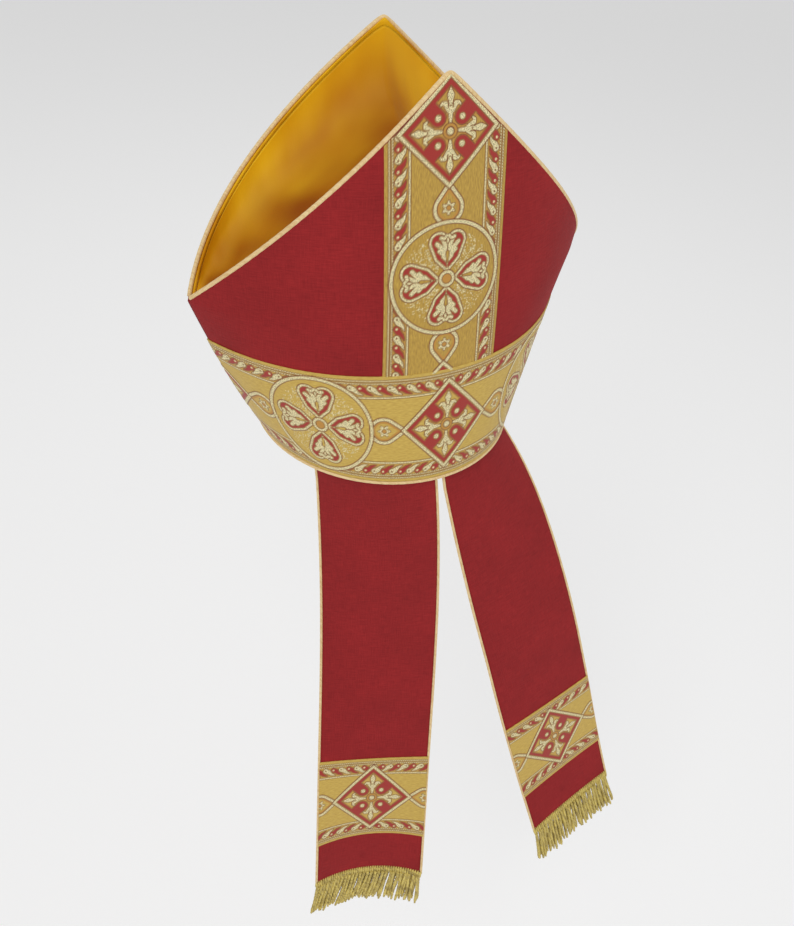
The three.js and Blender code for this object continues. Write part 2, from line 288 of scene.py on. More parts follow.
def noise(material: Material, pace: tuple[float, float], detail: float = 2.0, turn: float = 0.0,
          fine: float = 1.0) -> Socket:
    """Lay noise over the cloth as cut.

    Args:
        material: the material it goes into.
        pace: cells of noise per metre across and along the cloth.
        detail: octaves of finer noise.
        turn: turn of the pattern, radians.
        fine: factor on both paces.

    Returns:
        The noise, from 0 to 1.
    """
    place = add_node(material, "ShaderNodeUVMap", uv_map="cloth").outputs[0]
    laid = add_node(material, "ShaderNodeMapping", {
        0: place, "Rotation": (0, 0, turn), "Scale": (*pace, 1)}).outputs[0]
    return add_node(material, "ShaderNodeTexNoise", {
        "Vector": laid, "Scale": fine, "Detail": detail}).outputs[0]


def spread(material: Material, value: Socket, low: float, high: float,
           least: float = 0.0, most: float = 1.0) -> Socket:
    """Map low to high evenly onto least to most, clamped."""
    return add_node(material, "ShaderNodeMapRange", {0: value, 1: low, 2: high, 3: least, 4: most}).outputs[0]


def reckon(material: Material, operation: str, first: Socket,
           second: Socket | float) -> Socket:
    """Do one sum on two values."""
    return add_node(material, "ShaderNodeMath", {0: first, 1: second}, operation=operation).outputs[0]


def mix_colour(material: Material, share: object, first: object, second: object,
               blend: str = "MIX") -> Socket:
    """Mix two colours by a share."""
    return add_node(material, "ShaderNodeMix", {0: share, 6: first, 7: second},
                    data_type="RGBA", blend_type=blend).outputs[2]


def shade(material: Material, colour: object, share: Socket) -> Socket:
    """Multiply a colour by a share."""
    grey = add_node(material, "ShaderNodeCombineColor", {0: share, 1: share, 2: share}).outputs[0]
    return mix_colour(material, 1.0, colour, grey, "MULTIPLY")


def new_material(name: str, values: dict[str, object]) -> tuple[Material, bpy.types.Node]:
    """Make a node material.

    Args:
        name: the real material's name.
        values: plain values for the shader's own sockets.

    Returns:
        The material and its shader.
    """
    material = bpy.data.materials.new(name)
    material.use_nodes = True
    shader = material.node_tree.nodes["Principled BSDF"]
    for key, value in values.items():
        shader.inputs[key].default_value = value
    return material, shader


def connect(material: Material, shader: bpy.types.Node, colour: Socket,
            height: Socket, strength: float, depth_mm: float = 0.4) -> None:
    """Wire a colour and a bump into a shader.

    Args:
        material: the material.
        shader: its shader.
        colour: base colour.
        height: height of the bump, 0 to 1.
        strength: share of the bump that is used.
        depth_mm: height of a full bump.
    """
    bump = add_node(material, "ShaderNodeBump", {
        "Height": height, "Strength": strength, "Distance": depth_mm * MM}).outputs[0]
    material.node_tree.links.new(colour, shader.inputs["Base Color"])
    material.node_tree.links.new(bump, shader.inputs["Normal"])


@dataclass(frozen=True)
class SlubCloth:
    """Crimson furnishing cloth, plain woven with uneven weft threads.

    To the eye it is matt, with short crosswise threads a little lighter or darker than
    the rest and a soft bloom at grazing angles.
    """

    lit: str = "#9e2426"
    deep: str = "#86191d"
    bloom: str = "#c04038"
    weft_mm: float = 0.6     # the real 0.4 mm thread is drawn coarser so that it shows
    slub_mm: float = 9.0     # length of a thick place in the weft

    def make(self) -> Material:
        """Build the cloth: slubs are noise stretched along the weft, ends along the warp.

        Returns:
            The material.
        """
        material, shader = new_material("slub_cloth_crimson", {
            "Roughness": 0.82, "Specular IOR Level": 0.25, "Sheen Weight": 0.04,
            "Sheen Tint": linear(self.bloom)})
        fine, coarse = 1 / (MM * self.weft_mm), 1 / (MM * self.slub_mm)
        slub = noise(material, (coarse, fine / 1.4), 3.0)
        warp = noise(material, (fine / 1.2, coarse / 1.2))
        cloud = noise(material, (18, 18))
        threads = reckon(material, "ADD", slub, reckon(material, "MULTIPLY", warp, 0.7))
        light = spread(material, threads, 0.55, 1.15)
        tone = mix_colour(material, light, linear(self.deep), linear(self.lit))
        base = shade(material, tone, spread(material, cloud, 0.3, 0.7, 0.9, 1.08))
        connect(material, shader, base, threads, 0.35, 0.6)
        return material


@dataclass(frozen=True)
class LiningSatin:
    """Gold acetate satin: smooth, with broad soft highlights and faint drag lines.

    Where it is slung, its colour is darkened towards brown as painted shade in the valley; a point attribute
    says how far.
    """

    lit: str = "#f4c01a"
    deep: str = "#d08e08"
    # painted shade: the brown that the web's valley is darkened towards
    valley: str = "#944c04"

    def make(self) -> Material:
        """Build the satin with long faint streaks, slight clouding and painted shade in the valley.

        Returns:
            The material.
        """
        material, shader = new_material("lining_satin_gold", {"Roughness": 0.55, "Specular IOR Level": 0.16})
        cloud = spread(material, noise(material, (16, 22)), 0.35, 0.65)
        base = mix_colour(material, cloud, linear(self.deep), linear(self.lit))
        # painted shade: the satin is mixed towards the valley brown by a point attribute set on the web
        valley_shade = add_node(material, "ShaderNodeVertexColor", layer_name="valley_shade").outputs[0]
        base = mix_colour(material, valley_shade, base, linear(self.valley))
        connect(material, shader, base, noise(material, (900, 12), 3.0), 0.12)
        return material


@dataclass(frozen=True)
class GalloonThreads:
    """Jacquard galloon: satin gold ground with red silk and pale metallic figures.

    The figure is held per point in the attribute "figure": red silk, pale metal thread
    and brown outline; "tint" holds orange gold.
    """

    ground: str
    ground_deep: str
    red: str = "#a3281e"
    pale: str = "#f0e2ae"
    outline: str = "#6c2410"
    orange: str = "#c08a38"
    thread_mm: float = 0.8    # the real 0.3 mm thread is drawn coarser so that it shows

    def make(self, name: str) -> Material:
        """Build the galloon: ribs over the ground, painted glints in the metal thread's colour.

        Args:
            name: name of the material.

        Returns:
            The material.
        """
        material, shader = new_material(name, {"Roughness": 0.5})
        pace = 1 / (MM * self.thread_mm)
        rib = noise(material, (pace / 5, pace))
        grain_and_glints = noise(material, (pace, pace), 1.0)
        figure, tint = (add_node(material, "ShaderNodeSeparateColor", {
            0: add_node(material, "ShaderNodeVertexColor", layer_name=layer).outputs[0]}).outputs
            for layer in ("figure", "tint"))
        # painted glints: the grain noise lightens and darkens the pale metal thread's colour
        pale = shade(material, linear(self.pale), spread(material, grain_and_glints, 0.38, 0.58, 0.5, 1.06))
        colour = mix_colour(material, spread(material, rib, 0.32, 0.68),
                            linear(self.ground_deep), linear(self.ground))
        for share, thread in ((tint[0], linear(self.orange)), (figure[0], linear(self.red)),
                              (figure[1], pale), (figure[2], linear(self.outline))):
            colour = mix_colour(material, share, colour, thread)
        metal = reckon(material, "MULTIPLY", figure[1], 0.25)
        material.node_tree.links.new(metal, shader.inputs["Metallic"])
        connect(material, shader, colour, reckon(material, "ADD", rib, grain_and_glints), 0.4)
        return material


@dataclass(frozen=True)
class CordSatin:
    """Cream piping: bias-cut satin drawn tight over a cotton cord, or a twisted thread."""

    name: str = "piping_satin_cream"
    lit: str = "#ecd09a"
    deep: str = "#d9b67c"
    twist_mm: float = 1.6
    slant: float = 0.9       # turn of the threads, radians

    def make(self) -> Material:
        """Build fine slanting threads from noise stretched along the twist.

        Returns:
            The material.
        """
        material, shader = new_material(self.name, {"Roughness": 0.6, "Sheen Weight": 0.1})
        pace = 1 / (MM * self.twist_mm)
        thread = noise(material, (pace, pace / 6), turn=self.slant, fine=1.6)
        base = mix_colour(material, spread(material, thread, 0.35, 0.62), linear(self.deep), linear(self.lit))
        connect(material, shader, base, thread, 0.3)
        return material


# ---- the form: a round arc at every height, front and back -----------------------------------


class Side(Enum):
    """Which half of the hat, with the sign of its Y."""

    BACK = 1
    FRONT = -1

    @property
    def word(self) -> str:
        """Lower-case name for piece names."""
        return self.name.lower()


@dataclass(frozen=True)
class Form:
    """Outer face of the stiff panels; lift is outward from it, mm."""

    rim_radius: float = 97.5
    corner_height: float = 122
    corner_half_width: float = 181
    peak_height: float = 285
    centre_lean: float = 0.117
    centre_curve: float = 0.00019
    slope_flattening: float = 0.5

    @property
    def slope(self) -> float:
        """Height gained on the slope for each mm of cloth towards the middle."""
        return (self.peak_height - self.corner_height) / self.corner_half_width

    def centre_depth(self, z: Array) -> Array:
        """Distance of the centre line from the middle plane: rim radius less a bent lean."""
        h = np.maximum(z, 0)
        return self.rim_radius - self.centre_lean * h - self.centre_curve * h * h

    def half_width(self, z: Array) -> Array:
        """Cloth from centre line to side seam, growing evenly from rim to corner.

        Args:
            z: heights, mm.

        Returns:
            Half widths, mm.
        """
        share = np.clip(z, 0, self.corner_height) / self.corner_height
        start = self.rim_radius * np.pi / 2
        return start + (self.corner_half_width - start) * share

    def radius(self, z: Array) -> Array:
        """Section radius: the arc of that width whose ends meet the middle plane, by halving.

        Args:
            z: heights, mm.

        Returns:
            Radii of the outer face, mm.
        """
        z = np.asarray(z, float)
        capped = np.minimum(z, self.corner_height)
        reach, depth = self.half_width(capped), self.centre_depth(capped)
        low, high = reach / np.pi, reach * 100
        for _ in range(50):
            middle = (low + high) / 2
            tight = middle * (1 - np.cos(reach / middle)) > depth
            low, high = np.where(tight, middle, low), np.where(tight, high, middle)
        return (low + high) / 2 + self.slope_flattening * np.maximum(z - self.corner_height, 0)

    def seam_along(self, z: Array, lift: float, gap: float = 0.0) -> Array:
        """Cloth length at which a layer meets the middle plane.

        Args:
            z: heights, mm.
            lift: the layer's place outward.
            gap: room left to the plane.

        Returns:
            Lengths from the centre line, mm.
        """
        radius = self.radius(z)
        cosine = (radius - self.centre_depth(z) + gap) / (radius + lift)
        return radius * np.arccos(np.clip(cosine, -1, 1))

    def slope_along(self, z: Array) -> Array:
        """Cloth length from the centre line to the slope."""
        return (self.peak_height - z) / self.slope

    def place(self, side: Side, along: Array, z: Array, lift: Array) -> Array:
        """Point of a layer: the arc's radius grown by lift, turned by along over radius.

        Args:
            side: which half.
            along: cloth length from the centre line.
            z: heights.
            lift: place outward of the face.

        Returns:
            (..., 3) points, mm.
        """
        along, z, lift = np.broadcast_arrays(
            np.asarray(along, float), np.asarray(z, float), np.asarray(lift, float))
        radius = self.radius(z)
        angle = along / radius
        y = self.centre_depth(z) - radius + (radius + lift) * np.cos(angle)
        return np.stack([(radius + lift) * np.sin(angle), side.value * y, z], -1)


# ---- the woven figure ------------------------------------------------------------------------


def bar(x: Array, y: Array, ends: tuple[float, float, float, float], thick: tuple[float, float]) -> Array:
    """Distance outside two circles and the tangents that join them.

    Along the axis by q and aside by s, with b the taper over the length and a = sqrt(1 - b^2),
    the flank's distance is a s + b q - r; past either tangent point it is the circle's.

    Args:
        x: first place.
        y: second place.
        ends: both circles' middles, x and y in turn.
        thick: both circles' radii.

    Returns:
        Distances, negative inside.
    """
    ax, ay, bx, by = ends
    length = np.hypot(bx - ax, by - ay)
    dx, dy = (bx - ax) / length, (by - ay) / length
    q = (x - ax) * dx + (y - ay) * dy
    s = np.abs((y - ay) * dx - (x - ax) * dy)
    taper = np.clip((thick[0] - thick[1]) / length, -0.98, 0.98)
    flank = np.sqrt(1 - taper * taper)
    reach = flank * q - taper * s
    side = flank * s + taper * q - thick[0]
    first, last = np.hypot(s, q) - thick[0], np.hypot(s, q - length) - thick[1]
    return np.where(reach < 0, first, np.where(reach > flank * length, last, side))


@dataclass
class Weaving:
    """What lies on top at each point of a galloon: thread colours and raised height, mm."""

    shape: tuple[int, int]
    soft: float = 0.22
    red: Array = field(init=False)
    pale: Array = field(init=False)
    dark: Array = field(init=False)
    orange: Array = field(init=False)
    rise: Array = field(init=False)

    def __post_init__(self) -> None:
        """Start with the bare gold ground."""
        self.red, self.pale, self.dark, self.orange, self.rise = (
            np.zeros(self.shape) for _ in range(5))

    def lay(self, distance: Array, thread: str, rise: float, outline: float = 0.0) -> None:
        """Cover everything inside a distance field with one thread.

        Args:
            distance: negative inside the figure.
            thread: red, pale, dark, orange or ground.
            rise: height of the figure over the cloth.
            outline: width of a brown line laid round it first.
        """
        if outline:
            self.lay(distance - outline, "dark", rise * 0.4)
        cover = np.clip(0.5 - distance / (2 * self.soft), 0, 1)
        for key in ("red", "pale", "dark", "orange"):
            layer = getattr(self, key)
            layer += cover * (float(key == thread) - layer)
        self.rise += cover * (rise - self.rise)


@dataclass(frozen=True)
class GalloonFigure:
    """The galloon's repeating figure; along is the length, across runs -44 to 44 mm."""

    repeat: float = 98.0        # from the middle of a diamond to the middle of a medallion
    diamond: float = 35.4       # half diagonal to the middle of its pale line
    line: float = 1.25          # half width of a pale line
    ring: float = 39.4          # medallion, to the middle of its pale line
    leaf_pitch: float = 7.1
    quarter_turns: tuple[float, ...] = (0, np.pi / 2, np.pi, 3 * np.pi / 2)

    def weave(self, along: Array, across: Array) -> Weaving:
        """Lay border, teardrop, medallion and diamond in that order.

        Args:
            along: place along the galloon.
            across: place across it from its middle.

        Returns:
            The woven figure.
        """
        cloth = Weaving(along.shape)
        span = 2 * self.repeat
        signed = (along + self.repeat) % span - self.repeat
        from_diamond = np.abs(signed)
        from_medal = self.repeat - from_diamond
        self.border(cloth, from_medal, np.abs(across))
        self.teardrop(cloth, from_diamond, across)
        self.medallion(cloth, from_medal * np.sign(signed), across)
        self.diamond_cross(cloth, signed, across)
        return cloth

    def border(self, cloth: Weaving, from_medal: Array, side: Array) -> None:
        """Selvage cords, comma leaves that lean from medallion to diamond, inner line.

        Args:
            cloth: what is woven so far.
            from_medal: distance along to a medallion's middle.
            side: distance from the galloon's middle line.
        """
        beat = 0.2 * np.sin(2 * np.pi * from_medal / 1.9)
        cloth.lay(np.abs(side - 40.7) - 0.45 - beat, "pale", 0.15, 0.45)
        cloth.lay(np.abs(side - 38.5) - 0.4 + beat, "pale", 0.15, 0.4)
        zone = np.maximum(28.4 - side, side - 37.8)
        cloth.lay(zone + 0.3, "orange", 0.05)
        cloth.orange *= 1 - 0.45 * (zone < 0)
        pair = 2 * self.leaf_pitch
        y = side - 33.0
        for red in (True, False):
            x = (from_medal - (0 if red else self.leaf_pitch)) % pair - pair / 2
            leaf = np.full(x.shape, 99.0)
            dot = np.full(x.shape, 99.0)
            for shift in (-pair, 0, pair):
                for ends, thick in (((-2.8, 2.0, -0.4, 0.9), (2.3, 2.0)),
                                    ((-0.4, 0.9, 2.2, -1.8), (2.0, 1.2)),
                                    ((2.2, -1.8, 5.8, -3.4), (1.2, 0.3))):
                    leaf = np.minimum(leaf, bar(x + shift, y, ends, thick))
                dot = np.minimum(dot, np.hypot(x + shift + 2.9, y - 2.0) - (0.85 if red else 0.6))
            leaf = np.maximum(leaf, zone + 0.2)
            cloth.lay(leaf, "red" if red else "pale", 0.22, 0.5)
            cloth.lay(dot, "pale" if red else "dark", 0.28)
        cloth.lay(np.abs(side - 27.4) - 0.7, "pale", 0.2, 0.4)

    def teardrop(self, cloth: Weaving, x: Array, y: Array) -> None:
        """Pointed link between the diamond's tip and the medallion, with a small rosette.

        Args:
            cloth: what is woven so far.
            x: distance along from the diamond's middle.
            y: place across it.
        """
        tip, belly = self.diamond - 1.0, self.repeat - self.ring - 9.0
        drop = bar(x, y, (tip, 0, belly, 0), (0.3, 9.9))
        cloth.lay(drop - self.line, "pale", 0.38, 0.6)
        cloth.lay(drop + self.line, "dark", 0.1)
        cloth.lay(drop + self.line + 0.6, "orange", 0.12)
        cloth.lay(drop + self.line + 2.2, "ground", 0.12)
        cx, cy = x - belly + 0.4, y
        reach = np.hypot(cx, cy)
        petals = reach - (3.9 + 1.0 * np.cos(6 * np.arctan2(cy, cx)))
        cloth.lay(petals, "pale", 0.24, 0.5)
        cloth.lay(reach - 1.9, "dark", 0.15)
        cloth.lay(reach - 1.45, "orange", 0.15)

    def medallion(self, cloth: Weaving, x: Array, y: Array) -> None:
        """Ring with four heart petals, each with a palmette, and stipple between them.

        Args:
            cloth: what is woven so far.
            x: place along the galloon from the figure's middle.
            y: place across it.
        """
        reach = np.hypot(x, y)
        ring = reach - self.ring
        cloth.lay(ring - self.line, "pale", 0.38, 0.6)
        cloth.lay(ring + self.line, "dark", 0.1)
        cloth.lay(ring + self.line + 0.55, "ground", 0.05)
        cell = 0.7
        mark = np.sin(np.floor(x / cell) * 12.9898 + np.floor(y / cell) * 78.233) * 43758.5453
        off_axis = np.minimum(np.abs(x), np.abs(y))
        keep = (mark - np.floor(mark) > 0.6 + 0.008 * reach) & (off_axis > 5.5) & (reach < 33)
        cloth.lay(np.where(keep, -0.22, 2.0), "pale", 0.1)
        for turn in self.quarter_turns:
            a = x * np.cos(turn) + y * np.sin(turn)
            b = np.abs(-x * np.sin(turn) + y * np.cos(turn))
            self.petal(cloth, a, b)
        cloth.lay(reach - 5.9, "pale", 0.36, 0.6)
        cloth.lay(reach - 3.7, "dark", 0.12)
        cloth.lay(reach - 3.2, "orange", 0.2)

    @staticmethod
    def petal(cloth: Weaving, a: Array, b: Array) -> None:
        """Heart petal; a runs out from the medallion's middle and b to either side.

        Args:
            cloth: what is woven so far.
            a: place outward.
            b: place aside.
        """
        heart = np.minimum(bar(a, b, (26.2, 6.4, 17.0, 3.6), (7.2, 6.4)),
                           bar(a, b, (17.0, 3.6, 6.5, 0.0), (6.4, 1.4)))
        cloth.lay(heart, "pale", 0.34, 0.6)
        cloth.lay(heart + 1.75, "dark", 0.1)
        cloth.lay(heart + 2.1, "red", 0.14)
        curl = np.minimum(bar(a, b, (30.2, 0.9, 28.2, 2.6), (1.15, 1.0)),
                          bar(a, b, (28.2, 2.6, 29.0, 4.8), (1.0, 1.4)))
        leaf = bar(a, b, (10.6, 0.0, 22.0, 0.0), (0.4, 1.9))
        for ends, thick in (((12.4, 0.3, 16.0, 3.5), (0.8, 1.05)), ((14.8, 0.5, 20.2, 6.2), (1.3, 1.3)),
                            ((18.4, 0.6, 25.2, 7.9), (1.7, 1.5)), ((21.8, 0.6, 27.6, 4.0), (1.7, 1.15))):
            leaf = np.minimum(leaf, bar(a, b, ends, thick))
        cloth.lay(leaf, "pale", 0.3, 0.42)
        cloth.lay(curl, "pale", 0.34, 0.45)
        cloth.lay(bar(a, b, (12.2, 0.0, 18.6, 0.0), (0.35, 1.1)), "ground", 0.2, 0.4)
        cloth.lay(bar(a, b, (20.0, 0.0, 25.0, 0.0), (0.3, 0.1)), "dark", 0.16)

    def diamond_cross(self, cloth: Weaving, x: Array, y: Array) -> None:
        """Diamond frame with a fleury cross on gold between four red lobes.

        Args:
            cloth: what is woven so far.
            x: place along the galloon from the figure's middle.
            y: place across it.
        """
        root = np.sqrt(2)
        edge = (np.abs(x) + np.abs(y) - self.diamond) / root
        cloth.lay(edge - self.line, "pale", 0.38, 0.7)
        cloth.lay(edge + self.line, "dark", 0.1)
        cloth.lay(edge + self.line + 0.5, "red", 0.14)
        inner = edge + self.line + 3.3
        cloth.lay(inner, "dark", 0.1)
        cloth.lay(inner + 0.5, "orange", 0.14)
        cloth.lay(inner + 1.2, "ground", 0.12)
        u, v = np.abs(x + y) / root, np.abs(x - y) / root
        far, near = np.maximum(u, v), np.minimum(u, v)
        lobe = np.where(far > 12.2, near - 5.3, np.hypot(far - 12.2, near) - 5.3)
        cloth.lay(np.maximum(lobe - 1.5, inner), "orange", 0.14)
        cloth.lay(np.maximum(lobe - 0.6, inner), "dark", 0.1)
        cloth.lay(np.maximum(lobe, edge + self.line + 0.5), "red", 0.16)
        cloth.lay(np.hypot(far - 12.0, near) - 2.0, "pale", 0.3, 0.35)
        for turn in self.quarter_turns:
            a = x * np.cos(turn) + y * np.sin(turn)
            b = np.abs(-x * np.sin(turn) + y * np.cos(turn))
            fleur = bar(a, b, (5.4, 0.0, 13.4, 0.0), (0.85, 2.0))
            for ends, thick in (((13.0, 1.0, 16.8, 3.6), (1.9, 1.6)), ((16.8, 3.6, 17.4, 5.6), (1.6, 1.0)),
                                ((17.4, 5.6, 16.2, 6.8), (1.0, 0.7)), ((17.0, 0.0, 22.0, 0.0), (1.1, 2.4)),
                                ((22.0, 0.0, 26.4, 0.0), (2.4, 0.4))):
                fleur = np.minimum(fleur, bar(a, b, ends, thick))
            cloth.lay(fleur, "pale", 0.34, 0.5)
            cloth.lay(bar(a, b, (14.6, 1.6, 18.2, 1.9), (0.3, 0.1)), "dark", 0.16)
        reach = np.hypot(x, y)
        cloth.lay(reach - 5.4, "dark", 0.12)
        cloth.lay(reach - 4.8, "orange", 0.2)
        cloth.lay(reach - 3.1, "dark", 0.12)
        cloth.lay(reach - 2.4, "pale", 0.32)


@dataclass(frozen=True)
class GalloonMaker:
    """Turns a placed grid of galloon into a raised, coloured strip with its edges turned down."""

    figure: GalloonFigure = GalloonFigure()
    base_lift: float = 0.75
    tuck_lift: float = 0.05

    def strip(self, name: str, along: Array, across: Array, place: Callable[[Array], Array],
              material: Material, node: str | None) -> Piece:
        """Make one strip.

        Args:
            name: the piece's name.
            along: (rows, columns) place along the galloon, mm.
            across: the same for its width.
            place: gives points from a grid of lifts.
            material: its finish.
            node: the CAD node that it stands for, if any.

        Returns:
            The strip, with its figure in attributes and its cut place in its UV map.
        """
        cloth = self.figure.weave(along, across)
        face = place(self.base_lift + cloth.rise)
        edge = place(np.full(along.shape, self.tuck_lift))
        rows, columns = along.shape
        index = np.arange(rows * columns).reshape(rows, columns)
        loop = rim_of(index)
        ring = rows * columns + np.arange(len(loop))
        following, next_ring = np.roll(loop, -1), np.roll(ring, -1)
        skirt = np.stack([following, loop, ring, next_ring], -1)
        points = np.concatenate([face.reshape(-1, 3), edge.reshape(-1, 3)[loop]])
        quads = np.concatenate([grid_faces(rows, columns), skirt])
        pick = np.concatenate([index.ravel(), loop])
        figure = np.stack([cloth.red, cloth.pale, cloth.dark], -1).reshape(-1, 3)[pick]
        tint = np.repeat(cloth.orange.reshape(-1, 1)[pick], 3, 1)
        flat = np.stack([along.ravel(), across.ravel()], -1)[pick]
        middle = quads[len(quads) // 2 - columns // 2]
        return make_piece(name, points, self.facing(points, quads, middle, edge), flat, "woven_galloon",
                          material, node, {"figure": figure, "tint": tint})

    @staticmethod
    def facing(points: Array, quads: Array, middle: Array, edge: Array) -> Array:
        """Turn the faces so that they look away from the cloth below.

        Args:
            points: all points.
            quads: all faces.
            middle: one face of the figured side.
            edge: the same grid, laid on the cloth.

        Returns:
            The faces, turned outward.
        """
        a, b, c = points[middle[0]], points[middle[1]], points[middle[2]]
        below = edge.reshape(-1, 3)[middle[0]]
        return quads if np.dot(np.cross(b - a, c - a), a - below) > 0 else quads[:, ::-1]


# ---- sub-assemblies ----------------------------------------------------------------------------


@dataclass
class Finishes:
    """All materials, made once."""

    cloth: Material
    satin: Material
    band: Material
    upright: Material
    cord: Material
    fringe: Material

    @classmethod
    def make(cls) -> "Finishes":
        """Make every finish of the hat."""
        return cls(
            cloth=SlubCloth().make(),
            satin=LiningSatin().make(),
            # painted light and shade: band and lappet galloon is the lighter copy and the uprights the darker
            # copy of one galloon, for how light falls on them
            band=GalloonThreads(ground="#d3b454", ground_deep="#bf9a42").make("galloon_painted_light"),
            upright=GalloonThreads(ground="#c6a143", ground_deep="#a98434").make("galloon_upright_painted_shade"),
            cord=CordSatin().make(),
            fringe=CordSatin("fringe_rayon_old_gold", "#dcc668", "#a08a44", 1.5).make(),
        )


@dataclass
class Panel:
    """One stiff half: face cloth outside and satin lining inside."""

    form: Form
    side: Side
    cloth_thickness: float = 1.8
    lining_lift: float = -2.1
    lining_thickness: float = 1.5
    lining_trim: float = 0.4
    unevenness: float = 0.35    # of the cloth over its stiffening
    lining_drag: float = 0.25   # depth of the lining's soft drags, doubled at the peak
    columns: int = 121
    low_rows: int = 32
    high_rows: int = 61

    def heights(self, top: float) -> Array:
        """Row heights: even up to the corners, then even up the slope."""
        low = np.linspace(0, self.form.corner_height, self.low_rows, endpoint=False)
        return np.concatenate([low, np.linspace(self.form.corner_height, top, self.high_rows)])

    def layer(self, lift: float, trim: float, swell: Callable[[Array, Array], Array]) -> tuple[Array, Array]:
        """Grid of one face of the half.

        Args:
            lift: outward place of the face.
            trim: how far the slope is cut back.
            swell: extra lift, from place along and height.

        Returns:
            Points and their place in the cut cloth.
        """
        form = self.form
        z = self.heights(form.peak_height - 0.6 - trim)[:, None]
        seam = form.seam_along(z, lift, 0.1)
        slope = form.slope_along(np.minimum(z + trim, form.peak_height - 0.5))
        reach = np.where(z <= form.corner_height, seam, np.minimum(seam, slope))
        along = reach * np.linspace(-1, 1, self.columns)[None, :]
        fade = smooth(reach - np.abs(along), 0, 12)
        points = form.place(self.side, along, z, lift + fade * swell(along, z))
        return points, np.stack([along, np.broadcast_to(z, along.shape)], -1)

    def build(self, finishes: Finishes) -> None:
        """Make the cloth half and its lining.

        Args:
            finishes: the hat's materials.
        """
        seed = 11 + self.side.value

        def settle(along: Array, z: Array) -> Array:
            """Slight unevenness of cloth over its stiffening."""
            return self.unevenness * ripple(along, z, seed, pace=0.012)

        def ease(along: Array, z: Array) -> Array:
            """Soft drag in the lining, strongest towards the peak."""
            depth = self.lining_drag * (1 + smooth(z, 120, 260))
            return -0.1 - depth * (1 + ripple(along * 1.6, z * 0.5, seed + 5, pace=0.02))

        word = self.side.word
        for name, node, lift, thickness, trim, swell, material, slot in (
                (f"{word}_panel_cloth", f"{word}_panel", 0.0, self.cloth_thickness, 0.0, settle,
                 finishes.cloth, "red_cloth"),
                (f"{word}_panel_lining", f"{word}_lining", self.lining_lift, self.lining_thickness,
                 self.lining_trim, ease, finishes.satin, "gold_satin")):
            outer, flat = self.layer(lift, trim, swell)
            inner, _ = self.layer(lift - thickness, trim, swell)
            points, quads = wall(outer, inner)
            uv = np.concatenate([flat.reshape(-1, 2)] * 2)
            piece = make_piece(name, points, quads, uv, slot, material, node)
            reach, z = flat[:, -1, 0], flat[:, 0, 1]
            area = float(((reach[1:] + reach[:-1]) * np.diff(z)).sum())


